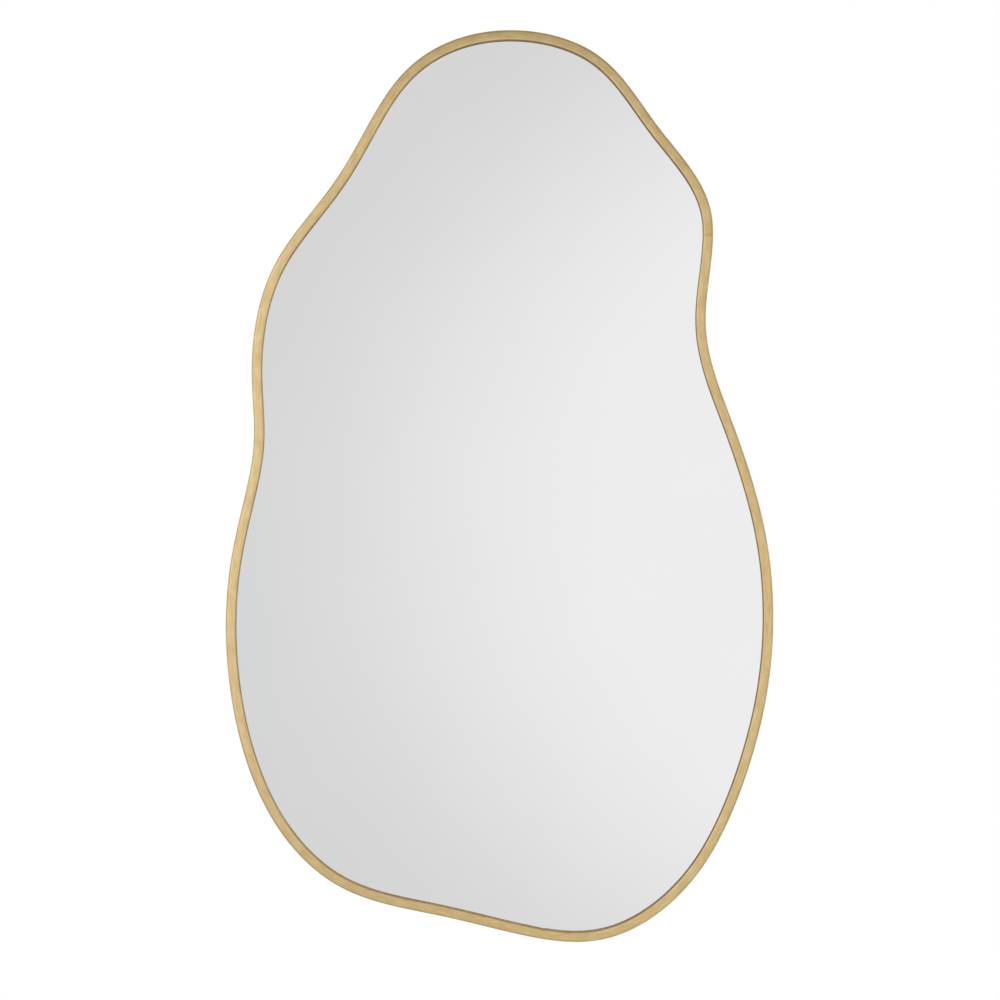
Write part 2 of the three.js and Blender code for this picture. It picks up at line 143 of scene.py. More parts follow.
class Outline:
    """The frame's outer edge seen from the front: points (x, z) by the share of the way round."""

    WEIGHTS = np.array([[1, -3, 3, -1], [4, 0, -6, 3], [1, 3, 3, -3], [0, 0, 0, 1]]) / 6

    def __init__(self, control, low, high):
        self.control = np.array(control, float)
        self.steps = np.linspace(0, 1, OUTLINE_SAMPLES + 1)
        drawn = self.blend(self.steps, 0)
        scale = (high - low) / (drawn.max(0) - drawn.min(0))
        self.control = (self.control - drawn.min(0)) * scale + low
        pieces = np.linalg.norm(np.diff(self.blend(self.steps, 0), axis=0), axis=1)
        self.travelled = np.append(0, np.cumsum(pieces))
        self.length = self.travelled[-1]

    def blend(self, steps, slope):
        """The spline, or its slope where slope is 1, at some values of its own parameter."""
        along = np.mod(steps, 1) * len(self.control)
        span = np.floor(along).astype(int)
        u = along - span
        powers = [[u * 0 + 1, u, u**2, u**3], [u * 0, u * 0 + 1, 2 * u, 3 * u**2]][slope]
        weights = self.WEIGHTS @ np.array(powers)
        return sum(
            weights[k][:, None] * self.control[(span + k) % len(self.control)] for k in range(4)
        )

    def at(self, shares):
        """Points on the outline, and the directions into the frame."""
        shares = np.atleast_1d(shares)
        steps = np.interp(np.mod(shares, 1) * self.length, self.travelled, self.steps)
        tangent = self.blend(steps, 1)
        tangent /= np.linalg.norm(tangent, axis=1)[:, None]
        return self.blend(steps, 0), np.stack([-tangent[:, 1], tangent[:, 0]], axis=1)

    def inset(self, shares, inset):
        points, inwards = self.at(shares)
        return points + inwards * inset


OUTLINE = Outline(OUTLINE_CONTROL, FRAME_LOW[[0, 2]], FRAME_HIGH[[0, 2]])

# ---------------------------------------------------------------- mesh helpers


def build(name, points, faces, uv=None, smooth=40):
    """A closed mesh object whose faces point out. Edges sharper than smooth degrees stay sharp."""
    mesh = bpy.data.meshes.new(name)
    mesh.from_pydata([tuple(p) for p in points], [], [tuple(int(i) for i in f) for f in faces])
    if uv is not None:
        layer = mesh.uv_layers.new(name="strip")
        layer.data.foreach_set("uv", np.asarray(uv, np.float32).ravel())
    work = bmesh.new()
    work.from_mesh(mesh)
    bmesh.ops.recalc_face_normals(work, faces=work.faces)
    work.to_mesh(mesh)
    work.free()
    mesh.shade_smooth()
    mesh.set_sharp_from_angle(angle=math.radians(smooth))
    piece = bpy.data.objects.new(name, mesh)
    bpy.context.scene.collection.objects.link(piece)
    return piece


def stand_for(piece, *nodes, finish, body="root"):
    """The piece stands in for CAD nodes, which are hidden; it gets its finishes and joins a body.
    """
    for material in finish if isinstance(finish, tuple) else (finish,):
        piece.data.materials.append(material)
    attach(piece, body)
    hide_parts(*nodes)
    return piece


def rounded(corners, steps):
    """A closed polygon with each corner (x, y, radius) drawn as an arc of short steps."""
    line = []
    for i, (x, y, radius) in enumerate(corners):
        corner = np.array([x, y])
        before = np.array(corners[i - 1][:2]) - corner
        after = np.array(corners[(i + 1) % len(corners)][:2]) - corner
        before /= np.linalg.norm(before)
        after /= np.linalg.norm(after)
        if radius == 0:
            line.append(corner)
            continue
        half = math.acos(np.clip(before @ after, -1, 1)) / 2
        bisector = (before + after) / np.linalg.norm(before + after)
        centre = corner + bisector * radius / math.sin(half)
        turn = math.pi / 2 - half
        side = np.array([-bisector[1], bisector[0]])
        side *= math.copysign(1, side @ before)
        for k in range(steps + 1):
            angle = turn * (1 - 2 * k / steps)
            line.append(centre - radius * (bisector * math.cos(angle) - side * math.sin(angle)))
    return np.array(line)


def with_supports(loop, reach=0.12 * MM, least=0.8 * MM):
    """Adds points close to both ends of each long side, so that flats stay flat beside bends."""
    line = []
    for a, b in zip(loop, np.roll(loop, -1, axis=0)):
        line.append(a)
        length = np.linalg.norm(b - a)
        if length > least:
            step = (b - a) / length * reach
            line += [a + step, b - step]
    return np.array(line)


def sweep(name, loop, shares, trim=None, smooth=40):
    """A closed section (depth behind the face, inset) swept along the outline.

    trim, if given, changes the section's points at each station: trim(share, loop)."""
    points, inwards = OUTLINE.at(shares)
    rings = np.stack([loop if trim is None else trim(share, loop) for share in shares])
    depth, inset = rings[..., 0], rings[..., 1]
    x = points[:, 0, None] + inwards[:, 0, None] * inset
    z = points[:, 1, None] + inwards[:, 1, None] * inset
    verts = np.stack([x, FACE_Y + depth, z], axis=-1).reshape(-1, 3)
    count, around = len(shares), len(loop)
    across = developed(loop)
    along = np.asarray(shares) * OUTLINE.length
    faces, uv = [], []
    for i in range(count - 1):
        for k in range(around):
            n = (k + 1) % around
            a, b = i * around, (i + 1) * around
            faces.append((a + k, b + k, b + n, a + n))
            uv += [
                (along[i], across[k]), (along[i + 1], across[k]),
                (along[i + 1], across[k + 1]), (along[i], across[k + 1]),
            ]
    for first in (0, (count - 1) * around):
        faces.append(range(first, first + around))
        uv += [tuple(p) for p in loop]
    return build(name, verts, faces, uv, smooth)


def plate(name, inset, low, high, bevel, stations):
    """A plate of the outline's shape between two depths, with a chamfer round both faces."""
    shares = np.linspace(0, 1, stations, endpoint=False)
    rings = [
        (inset + bevel, low), (inset, low + bevel), (inset, high - bevel), (inset + bevel, high),
    ]
    verts = []
    for at, y in rings:
        edge = OUTLINE.inset(shares, at)
        verts += [(x, y, z) for x, z in edge]
    faces = []
    for r in range(len(rings) - 1):
        for i in range(stations):
            n = (i + 1) % stations
            a, b = r * stations, (r + 1) * stations
            faces.append((a + i, b + i, b + n, a + n))
    faces.append(range(stations))
    faces.append(range((len(rings) - 1) * stations, len(rings) * stations))
    return build(name, verts, faces, smooth=20)


def revolve(name, profile, segments, smooth=35):
    """A profile of (radius, height) turned round Y. It starts and ends on the axis."""
    verts, faces = [(0, profile[0][1], 0)], []
    rings = profile[1:-1]
    for radius, y in rings:
        for k in range(segments):
            angle = 2 * math.pi * k / segments
            verts.append((radius * math.cos(angle), y, radius * math.sin(angle)))
    verts.append((0, profile[-1][1], 0))
    for k in range(segments):
        n = (k + 1) % segments
        faces.append((0, 1 + k, 1 + n))
        for r in range(len(rings) - 1):
            a, b = 1 + r * segments, 1 + (r + 1) * segments
            faces.append((a + k, b + k, b + n, a + n))
        last = 1 + (len(rings) - 1) * segments
        faces.append((len(verts) - 1, last + n, last + k))
    return build(name, verts, faces, smooth=smooth)


def cut(piece, cutters):
    """Cuts closed tool objects out of a piece, and removes them."""
    for tool in cutters:
        step = piece.modifiers.new("cut", "BOOLEAN")
        step.operation = "DIFFERENCE"
        step.solver = "EXACT"
        step.object = tool
    bpy.context.view_layer.update()
    evaluated = piece.evaluated_get(bpy.context.evaluated_depsgraph_get())
    result = bpy.data.meshes.new_from_object(evaluated)
    result.set_sharp_from_angle(angle=math.radians(30))
    piece.modifiers.clear()
    piece.data = result
    for tool in cutters:
        bpy.data.objects.remove(tool)
    return piece


def bar(radius, low, high, x, z, segments=32):
    """A round cutting tool along Y."""
    tool = revolve("tool", [(0, low), (radius, low), (radius, high), (0, high)], segments)
    tool.location = (x, 0, z)
    return tool


# ---------------------------------------------------------------- section of the frame's strip

OUTER_CROWN, INNER_CROWN = 0.35 * MM, 0.3 * MM  # the face falls away a little towards its folds
RIM_ROUND = 0.2 * MM
INSIDE_ROUND = 0.35 * MM
FOLD_STEPS = 8


def rail_loop():
    """The strip's J section, as (depth behind the face, inset), from its back rim round."""
    corners = [
        (FRAME_DEPTH, 0, RIM_ROUND), (0, 0, FOLD_RADIUS), (0, FACE_WIDTH, FOLD_RADIUS),
        (RETURN_DEPTH, FACE_WIDTH, RIM_ROUND), (RETURN_DEPTH, FACE_WIDTH - FRAME_SHEET, RIM_ROUND),
        (FRAME_SHEET, FACE_WIDTH - FRAME_SHEET, INSIDE_ROUND),
        (FRAME_SHEET, FRAME_SHEET, INSIDE_ROUND), (FRAME_DEPTH, FRAME_SHEET, RIM_ROUND),
    ]
    bare = with_supports(rounded(corners, FOLD_STEPS))
    loop = []
    for a, b in zip(bare, np.roll(bare, -1, axis=0)):
        on_face = a[0] < 1e-9 and b[0] < 1e-9 and b[1] - a[1] > 1 * MM
        loop += [a + (b - a) * share for share in (np.arange(12) / 12 if on_face else [0])]
    loop = np.array(loop)
    off_middle = (loop[:, 1] - FACE_WIDTH / 2) / (FACE_WIDTH / 2)
    crown = np.where(off_middle > 0, INNER_CROWN, OUTER_CROWN) * off_middle**4
    loop[:, 0] += crown * np.clip(1 - loop[:, 0] / FOLD_RADIUS, 0, 1)
    return loop


def developed(loop):
    """The distance along the section at each of its points, and back at the first."""
    return np.append(0, np.cumsum(np.linalg.norm(np.roll(loop, -1, axis=0) - loop, axis=1)))


RAIL_LOOP = rail_loop()
OUTER_HALF = slice(len(RAIL_LOOP) // 2)
MIDDLE_OF_FACE = float(np.interp(  # its distance along the section
    FACE_WIDTH / 2, RAIL_LOOP[OUTER_HALF, 1], developed(RAIL_LOOP)[OUTER_HALF],
))

# ---------------------------------------------------------------- finishes


class Finish:
    """A material whose nodes are added and joined by short calls."""

    def __init__(self, name, **values):
        self.material = bpy.data.materials.new(name)
        self.material.use_nodes = True
        self.tree = self.material.node_tree
        self.shader = self.tree.nodes["Principled BSDF"]
        for socket, value in values.items():
            self.shader.inputs[socket.replace("_", " ")].default_value = value

    def node(self, kind, **settings):
        made = self.tree.nodes.new("ShaderNode" + kind)
        for name, value in settings.items():
            setattr(made, name, value)
        return made

    def join(self, source, target):
        self.tree.links.new(source, target)

    def maths(self, operation, a, b=None, third=None):
        """A Math node. Each of the values is a socket or a number."""
        made = self.node("Math", operation=operation)
        for socket, value in zip(made.inputs, (a, b, third)):
            self.feed(value, socket)
        return made.outputs[0]

    def feed(self, value, socket):
        if isinstance(value, bpy.types.NodeSocket):
            self.join(value, socket)
        elif value is not None:
            socket.default_value = value

    def mapped(self, vector, scale, offset=(0, 0, 0)):
        made = self.node("Mapping")
        made.inputs["Scale"].default_value = scale
        made.inputs["Location"].default_value = offset
        self.join(vector, made.inputs["Vector"])
        return made.outputs["Vector"]

    def noise(self, vector, scale=1.0, detail=3.0, roughness=0.5):
        made = self.node("TexNoise")
        self.join(vector, made.inputs["Vector"])
        made.inputs["Scale"].default_value = scale
        made.inputs["Detail"].default_value = detail
        made.inputs["Roughness"].default_value = roughness
        return made.outputs["Fac"]

    def spread(self, value, low, high, to_low=0.0, to_high=1.0):
        made = self.node("MapRange")
        made.interpolation_type = "SMOOTHSTEP"
        for socket, number in zip(made.inputs, (value, low, high, to_low, to_high)):
            self.feed(number, socket)
        return made.outputs["Result"]

    def blend(self, share, first, second, how="MIX"):
        made = self.node("Mix", data_type="RGBA", blend_type=how)
        self.feed(share, made.inputs["Factor"])
        for socket, colour in ((made.inputs[6], first), (made.inputs[7], second)):
            self.feed(colour if isinstance(colour, bpy.types.NodeSocket) else (*colour, 1), socket)
        return made.outputs[2]

    def bump(self, height, strength, distance, before=None):
        made = self.node("Bump")
        made.inputs["Strength"].default_value = strength
        made.inputs["Distance"].default_value = distance
        self.join(height, made.inputs["Height"])
        if before is not None:
            self.join(before, made.inputs["Normal"])
        return made.outputs["Normal"]

    def paint(self, colour=None, roughness=None, normal=None):
        sources = {"Base Color": colour, "Roughness": roughness, "Normal": normal}
        for socket, source in sources.items():
            if source is not None:
                self.join(source, self.shader.inputs[socket])
        return self.material


BRASS_GOLD, BRASS_PALE = (0.8, 0.537, 0.203), (0.735, 0.59, 0.302)
BRASS_CLOUD, BRASS_STROKE = (0.915, 0.687, 0.342), (0.54, 0.36, 0.11)
# the fold colour below is painted shade: the darker reflections along the folds, painted into the
# colour
BRASS_FOLD_SHADE, BRASS_STAIN = (0.21, 0.135, 0.052), (0.5, 0.33, 0.13)
STAIN_NEAR, STAIN_FAR = 3 * MM, 7.5 * MM  # from the side joint
STAIN_RAGGED = 8 * MM


def brushed_brass():
    """Lacquered satin brass: fine grain along the strip, soft mottling and painted shade on the
    folds.

    Texture coordinates are metres along the strip and across its developed section."""
    f = Finish(
        "brushed_brass", Metallic=1.0, Anisotropic=0.7, Anisotropic_Rotation=0.25,
        Specular_Tint=(1, 0.87, 0.62, 1), Coat_Weight=0.5, Coat_Roughness=0.3, Coat_IOR=1.5,
    )
    strip = f.node("UVMap", uv_map="strip").outputs["UV"]
    tangent = f.node("Tangent", direction_type="UV_MAP", uv_map="strip")
    f.join(tangent.outputs["Tangent"], f.shader.inputs["Tangent"])
    grain = f.noise(f.mapped(strip, (45, 5200, 1)), detail=4, roughness=0.65)
    strokes = f.noise(f.mapped(strip, (48, 700, 1), (3, 7, 0)), detail=3)
    clouds = f.noise(f.mapped(strip, (60, 130, 1), (11, 2, 0)), detail=3, roughness=0.6)
    tint = f.noise(f.mapped(strip, (70, 150, 1), (5, 31, 0)), detail=2)
    colour = f.blend(f.spread(tint, 0.3, 0.7), BRASS_GOLD, BRASS_PALE)
    colour = f.blend(f.spread(clouds, 0.3, 0.7, 0.0, 0.85), colour, BRASS_CLOUD)
    colour = f.blend(f.spread(strokes, 0.25, 0.75, 0.0, 0.42), colour, BRASS_STROKE)
    place = f.node("SeparateXYZ")
    f.join(strip, place.inputs[0])
    outwards = f.maths("SUBTRACT", MIDDLE_OF_FACE, place.outputs["Y"])
    flat, bent = FACE_WIDTH / 2 - FOLD_RADIUS, math.pi / 2 * FOLD_RADIUS
    # painted shade: the outer and inner folds are darkened in colour to stand in for the darker
    # reflections they catch
    outer_fold_shade = f.maths(
        "MULTIPLY",
        f.spread(outwards, flat - 0.8 * bent, flat + 0.5 * bent, 0.0, 0.42),
        f.spread(outwards, flat + 0.9 * bent, flat + 1.5 * bent, 1.0, 0.0),
    )
    inwards = f.maths("MULTIPLY", outwards, -1)
    inner_fold_shade = f.spread(inwards, flat + 0.2 * bent, flat + 0.6 * bent, 0.0, 0.85)
    for fold in (outer_fold_shade, inner_fold_shade):
        colour = f.blend(fold, colour, BRASS_FOLD_SHADE)
    past_seam = f.maths("SUBTRACT", place.outputs["X"], SIDE_SEAM * OUTLINE.length)
    beside = f.maths("MULTIPLY_ADD", clouds, STAIN_RAGGED, third=f.maths("ABSOLUTE", past_seam))
    colour = f.blend(f.spread(beside, STAIN_NEAR, STAIN_FAR, 0.5, 0.0), colour, BRASS_STAIN)
    roughness = f.spread(grain, 0.25, 0.75, 0.27, 0.36)
    lines = f.bump(grain, 0.2, 0.02 * MM)
    normal = f.bump(clouds, 0.1, 0.2 * MM, lines)
    return f.paint(colour, roughness, normal)


def painted_return_shade():
    """The return inside the face, matt and dark like bronze: painted shade for the shaded recess
    beside the glass.
    """
    f = Finish("painted_return_shade", Specular_IOR_Level=0.15)
    strip = f.node("UVMap", uv_map="strip").outputs["UV"]
    lines = f.noise(f.mapped(strip, (30, 1500, 1)), detail=3)
    clouds = f.noise(f.mapped(strip, (60, 90, 1), (4, 9, 0)), detail=3)
    # both tones are painted shade, darkening the return where the recess between face and glass is
    # in shade
    colour = f.blend(f.spread(clouds, 0.3, 0.7), (0.245, 0.164, 0.07), (0.318, 0.219, 0.098))
    return f.paint(colour, f.spread(lines, 0.3, 0.7, 0.5, 0.65), f.bump(lines, 0.2, 0.03 * MM))


def mill_brass():
    """The unbrushed inner side of the strip: duller, with drawing lines and faint stains."""
    f = Finish("mill_brass", Metallic=1.0)
    strip = f.node("UVMap", uv_map="strip").outputs["UV"]
    place = f.node("TexCoord").outputs["Object"]
    lines = f.noise(f.mapped(strip, (8, 900, 1)), detail=3)
    stains = f.noise(place, 38, 4, 0.6)
    colour = f.blend(f.spread(stains, 0.35, 0.7), (0.5, 0.36, 0.19), (0.36, 0.26, 0.14))
    roughness = f.spread(lines, 0.3, 0.7, 0.42, 0.6)
    return f.paint(colour, roughness, f.bump(lines, 0.3, 0.03 * MM))


def silvering():
    """Float glass silvered behind: a clean mirror, very slightly uneven."""
    f = Finish("silvered_glass", Metallic=1.0)
    place = f.node("TexCoord").outputs["Object"]
    haze = f.noise(place, 7, 3, 0.5)
    colour = f.blend(f.spread(haze, 0.3, 0.7), (0.925, 0.93, 0.928), (0.935, 0.938, 0.935))
    return f.paint(colour, f.spread(haze, 0.3, 0.7, 0.004, 0.012))


def backing_paint():
    """The grey protective paint over the silvering, and the glass's dark edge."""
    f = Finish("backing_paint", Specular_IOR_Level=0.4)
    place = f.node("TexCoord").outputs["Object"]
    clouds = f.noise(place, 60, 4, 0.6)
    colour = f.blend(clouds, (0.115, 0.13, 0.125), (0.15, 0.165, 0.155))
    return f.paint(colour, f.spread(clouds, 0.3, 0.7, 0.45, 0.6), f.bump(clouds, 0.1, 0.1 * MM))


def fibreboard():
    """Black-faced fibreboard: a fine felted face with scattered pale fibres."""
    f = Finish("black_board", Specular_IOR_Level=0.35)
    place = f.node("TexCoord").outputs["Object"]
    felt = f.noise(place, 420, 5, 0.65)
    mottle = f.noise(place, 14, 4, 0.55)
    fibres = f.noise(f.mapped(place, (900, 900, 260)), 1.0, 2, 0.5)
    colour = f.blend(f.spread(mottle, 0.3, 0.7), (0.019, 0.017, 0.016), (0.03, 0.027, 0.025))
    colour = f.blend(f.spread(fibres, 0.62, 0.78, 0.0, 0.5), colour, (0.075, 0.064, 0.052))
    roughness = f.spread(felt, 0.3, 0.7, 0.62, 0.82)
    return f.paint(colour, roughness, f.bump(felt, 0.35, 0.12 * MM))


def board_edge():
    """The brown sawn edge of the fibreboard, and the sides of its holes."""
    f = Finish("board_edge", Specular_IOR_Level=0.3)
    place = f.node("TexCoord").outputs["Object"]
    layers = f.noise(f.mapped(place, (120, 1400, 120)), 1.0, 4, 0.6)
    colour = f.blend(f.spread(layers, 0.3, 0.7), (0.13, 0.075, 0.04), (0.2, 0.125, 0.07))
    return f.paint(colour, f.spread(layers, 0.3, 0.7, 0.75, 0.92), f.bump(layers, 0.5, 0.2 * MM))


def zinc_plate():
    """Bright zinc plating on pressed steel: faint spangle and rolling lines."""
    f = Finish("zinc_steel", Metallic=1.0)
    place = f.node("TexCoord").outputs["Object"]
    spangle = f.noise(place, 260, 3, 0.6)
    film = f.noise(place, 48, 2, 0.5)
    colour = f.blend(f.spread(spangle, 0.35, 0.65), (0.56, 0.575, 0.59), (0.66, 0.675, 0.69))
    colour = f.blend(f.spread(film, 0.45, 0.75, 0.0, 0.35), colour, (0.6, 0.59, 0.53))
    roughness = f.spread(spangle, 0.3, 0.7, 0.27, 0.42)
    return f.paint(colour, roughness, f.bump(spangle, 0.15, 0.05 * MM))


def foam():
    """White foam tape: an open, slightly uneven cell structure."""
    f = Finish("foam_tape", Specular_IOR_Level=0.2)
    place = f.node("TexCoord").outputs["Object"]
    cells = f.noise(place, 1400, 3, 0.6)
    colour = f.blend(f.spread(cells, 0.3, 0.7), (0.7, 0.69, 0.64), (0.82, 0.81, 0.77))
    return f.paint(colour, f.spread(cells, 0.3, 0.7, 0.85, 0.95), f.bump(cells, 0.6, 0.15 * MM))


def rubber():
    """Matt dark grey rubber with a fine moulded texture."""
    f = Finish("rubber_bumper", Specular_IOR_Level=0.35)
    place = f.node("TexCoord").outputs["Object"]
    pores = f.noise(place, 1800, 3, 0.6)
    bloom = f.noise(place, 120, 3, 0.5)
    colour = f.blend(f.spread(bloom, 0.35, 0.7), (0.04, 0.042, 0.044), (0.06, 0.061, 0.062))
    return f.paint(colour, f.spread(pores, 0.3, 0.7, 0.6, 0.78), f.bump(pores, 0.3, 0.05 * MM))


BRASS = brushed_brass()
RETURN_SHADE = painted_return_shade()
INNER_BRASS = mill_brass()
SILVER = silvering()
PAINT = backing_paint()
BOARD = fibreboard()
EDGE = board_edge()
ZINC = zinc_plate()
FOAM = foam()
RUBBER = rubber()

# ---------------------------------------------------------------- frame rails

SEAM_SHOWN = 0.04 * MM  # the joints are ground flush: only a hairline is left between the ends
RAIL_STEP = 3 * MM
JOINT_SPAN = 18 * MM  # the left rail's return is ground back over this length at the bottom joint
JOINT_PULL = 0.7 * MM


def rail_shares(start, end):
    """Even stations, with close ones near the ends for the joints."""
    near = np.array([0, 0.1, 0.3, 0.7, 1.5]) * MM / OUTLINE.length
    step = RAIL_STEP / OUTLINE.length
    count = int((end - start) * OUTLINE.length / RAIL_STEP)
    inner = np.linspace(start + step, end - step, count)
    return np.concatenate([start + near, inner, end - near[::-1]])


def ground_joint(share, loop):
    """At the bottom joint the left rail's inner fold stands back a little from its neighbour's."""
    left = (BOTTOM_SEAM + 1 - share) * OUTLINE.length / JOINT_SPAN
    if left > 1:
        return loop
    pulled = loop.copy()
    near_fold = np.clip((loop[:, 1] - FACE_WIDTH / 2) / (FACE_WIDTH / 2), 0, 1)
    pulled[:, 1] -= near_fold * JOINT_PULL * (1 - left) ** 2
    return pulled


def paint_rail(rail):
    """Material slots: 0 the brushed skin, 1 the return, 2 the faces inside the channel."""
    slots = []
    for a, b in zip(RAIL_LOOP, np.roll(RAIL_LOOP, -1, axis=0)):
        depth, inset = (a + b) / 2
        inside = depth > FRAME_SHEET / 2 and inset < FACE_WIDTH - FRAME_SHEET / 2
        on_return = depth > FOLD_RADIUS * 0.7 and inset > FACE_WIDTH - FRAME_SHEET / 2
        on_rim = depth > FRAME_DEPTH - RIM_ROUND
        skin = inset < FRAME_SHEET / 2 or on_rim or not (inside or on_return)
        slots.append(0 if skin else 1 if on_return else 2)
    swept = (len(rail.data.polygons) - 2) // len(slots)
    rail.data.polygons.foreach_set("material_index", slots * swept + [0, 0])
    rail.data.update()


def frame_rails():
    half = SEAM_SHOWN / 2 / OUTLINE.length
    spans = {
        "frame_rail_right": (BOTTOM_SEAM + half, SIDE_SEAM - half, None),
        "frame_rail_left": (SIDE_SEAM + half, BOTTOM_SEAM + 1 - half, ground_joint),
    }
    for node, (start, end, trim) in spans.items():
        rail = sweep(node + "_strip", RAIL_LOOP, rail_shares(start, end), trim)
        stand_for(rail, node, finish=(BRASS, RETURN_SHADE, INNER_BRASS))
        paint_rail(rail)


def splice_keys():
    behind, inner, back = FRAME_SHEET + GAP, FACE_WIDTH - INSIDE_WALL, FRAME_DEPTH - RIM_MARGIN
    corners = [
        (behind, INSIDE_WALL, 0.5 * MM), (back, INSIDE_WALL, RIM_ROUND),
        (back, INSIDE_WALL + SPLICE_SHEET, RIM_ROUND),
        (behind + SPLICE_SHEET, INSIDE_WALL + SPLICE_SHEET, RIM_ROUND),
        (behind + SPLICE_SHEET, inner, RIM_ROUND), (behind, inner, RIM_ROUND),
    ]
    half = SPLICE_LENGTH / 2 / OUTLINE.length
    for node, seam in (("splice_key_bottom", BOTTOM_SEAM), ("splice_key_side", SIDE_SEAM)):
        shares = np.linspace(seam - half, seam + half, 25)
        key = sweep(node + "_bar", with_supports(rounded(corners, 3)), shares)
        stand_for(key, node, finish=ZINC)


# ---------------------------------------------------------------- glass, tape and board

PLATE_STATIONS = 720
BOARD_ARRIS = 0.3 * MM
TAPE_EDGE = 0.3 * MM


def mirror_glass():
    glass = plate("mirror_glass_pane", EDGE_INSET, *GLASS_Y, GLASS_ARRIS, PLATE_STATIONS)
    stand_for(glass, "mirror_glass", finish=(SILVER, PAINT))
    for face in glass.data.polygons:
        face.material_index = 0 if face.center.y < GLASS_Y[0] + GLASS_ARRIS else 1


def screw_size(node):
    return TAB_SCREW if node.startswith("tab") else HANGER_SCREW


def backing_board():
    board = plate("backing_board_panel", EDGE_INSET, *BOARD_Y, BOARD_ARRIS, PLATE_STATIONS)
    tools = []
    for node in frame["nodes"]:
        if "screw" in node:
            low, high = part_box(node)
            middle = (low + high) / 2
            radius, end = screw_size(node)["shank"] + GAP, BOARD_Y[1] + HOLE_MARGIN
            tools.append(bar(radius, low.y - GAP, end, middle.x, middle.z, 24))
    cut(board, tools)
    stand_for(board, "backing_board", finish=(BOARD, EDGE))
    for face in board.data.polygons:
        face.material_index = 0 if abs(face.normal.y) > 0.5 else 1


def foam_tapes():
    for node in sorted(frame["nodes"]):
        if node.startswith("foam_tape"):
            carried = frame["nodes"][node]
            carried.data.materials.clear()
            carried.data.materials.append(FOAM)
            edge = carried.modifiers.new("soft edge", "BEVEL")
            edge.width = TAPE_EDGE
            edge.segments = 2


# ---------------------------------------------------------------- retaining tabs


def tab_stations():
    spans = (
        (BOTTOM_SEAM, SIDE_SEAM, TABS_ON_RIGHT_RAIL),
        (SIDE_SEAM, BOTTOM_SEAM + 1, TABS_ON_LEFT_RAIL),
    )
    return [
        start + (end - start) * (i + 0.5) / count
        for start, end, count in spans for i in range(count)
    ]


def tab_line():
    """The middle of the tab's sheet from the leg's free edge to the foot's, as (depth, inset)."""
    half = TAB_SHEET / 2
    leg, foot = INSIDE_WALL + half, HARDWARE_DEPTH + half
    end = INSIDE_WALL + TAB_REACH
    line = [(depth, leg) for depth in np.linspace(FRAME_DEPTH - RIM_MARGIN, foot + TAB_BEND, 5)]
    for angle in np.linspace(0, math.pi / 2, 9)[1:]:
        line.append((
            foot + TAB_BEND * (1 - math.sin(angle)), leg + TAB_BEND * (1 - math.cos(angle)),
        ))
    line += [(foot, inset) for inset in np.linspace(leg + TAB_BEND, end - TAB_CORNER, 12)[1:]]
    line += [(foot, end - TAB_CORNER + reach) for reach in round_steps(TAB_CORNER, 8)[1:]]
    return np.array(line)


def round_steps(radius, steps):
    """Distances along a quarter circle's radius whose points on it are evenly spaced."""
    return radius * np.sin(np.linspace(0, math.pi / 2, steps + 1))


def offset_sheet(line, thickness):
    """Both surfaces of a sheet that follows a line in a plane."""
    steps = np.diff(line, axis=0)
    steps /= np.linalg.norm(steps, axis=1)[:, None]
    before, after = np.vstack([steps[:1], steps]), np.vstack([steps, steps[-1:]])
    slope = before + after
    slope /= np.linalg.norm(slope, axis=1)[:, None]
    reach = thickness / 2 / np.sum(slope * before, axis=1)[:, None]
    across = np.stack([-slope[:, 1], slope[:, 0]], axis=1) * reach
    return line + across, line - across


def closed_sheet(name, sides, widths, place, columns=9, smooth=35):
    """Two surfaces of a sheet joined round their edges.

    sides are the two lines in the sheet's plane of bending, widths the half width at each of
    their points, and place(across, point) puts a point of a line in space."""
    rows = len(widths)
    verts = []
    for side in sides:
        for point, half in zip(side, widths):
            verts += [place(across, point) for across in np.linspace(-half, half, columns)]
    faces, upper = [], rows * columns
    for r in range(rows - 1):
        for c in range(columns - 1):
            a = r * columns + c
            b = a + columns
            faces.append((a, a + 1, b + 1, b))
            faces.append((upper + a, upper + b, upper + b + 1, upper + a + 1))
        for c in (0, columns - 1):
            a, b = r * columns + c, (r + 1) * columns + c
            faces.append((a, b, upper + b, upper + a))
    for r in (0, rows - 1):
        for c in range(columns - 1):
            a = r * columns + c
            faces.append((a, a + 1, upper + a + 1, upper + a))
    return build(name, verts, faces, smooth=smooth)


def soften(piece, width, segments=2, angle=50):
    """Rounds a piece's sharp edges."""
    step = piece.modifiers.new("edges", "BEVEL")
    step.width = width
    step.segments = segments
    step.limit_method = "ANGLE"
    step.angle_limit = math.radians(angle)
    step.harden_normals = True


def retaining_tabs():
    line = tab_line()
    into_corner = np.clip(line[:, 1] - (INSIDE_WALL + TAB_REACH - TAB_CORNER), 0, TAB_CORNER)
    widths = TAB_WIDTH / 2 - TAB_CORNER + np.sqrt(TAB_CORNER**2 - into_corner**2)
    sides = offset_sheet(line, TAB_SHEET)
    for i, share in enumerate(tab_stations()):
        def place(across, point, share=share):
            (x, z), = OUTLINE.inset(share + across / OUTLINE.length, point[1])
            return x, FACE_Y + point[0], z

        tab = closed_sheet(f"retaining_tab_{i + 1}_bracket", sides, widths, place)
        low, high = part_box(f"tab_screw_{i + 1}")
        middle = (low + high) / 2
        radius = TAB_SCREW["shank"] + SCREW_HOLE_CLEARANCE
        cut(tab, [bar(radius, BOARD_Y[1] - HOLE_MARGIN, 0, middle.x, middle.z)])
        soften(tab, SOFT_EDGE)
        stand_for(tab, f"retaining_tab_{i + 1}", finish=ZINC)


# ---------------------------------------------------------------- screws

WING_REACH = 0.62  # of the head's radius
WING_HALF = 0.13  # half a wing's width, as a share of the head's radius
RECESS_DEPTH = 0.62  # of the head's height
SCREW_TURN = 2.4  # in radians, from one screw's cross to the next one's


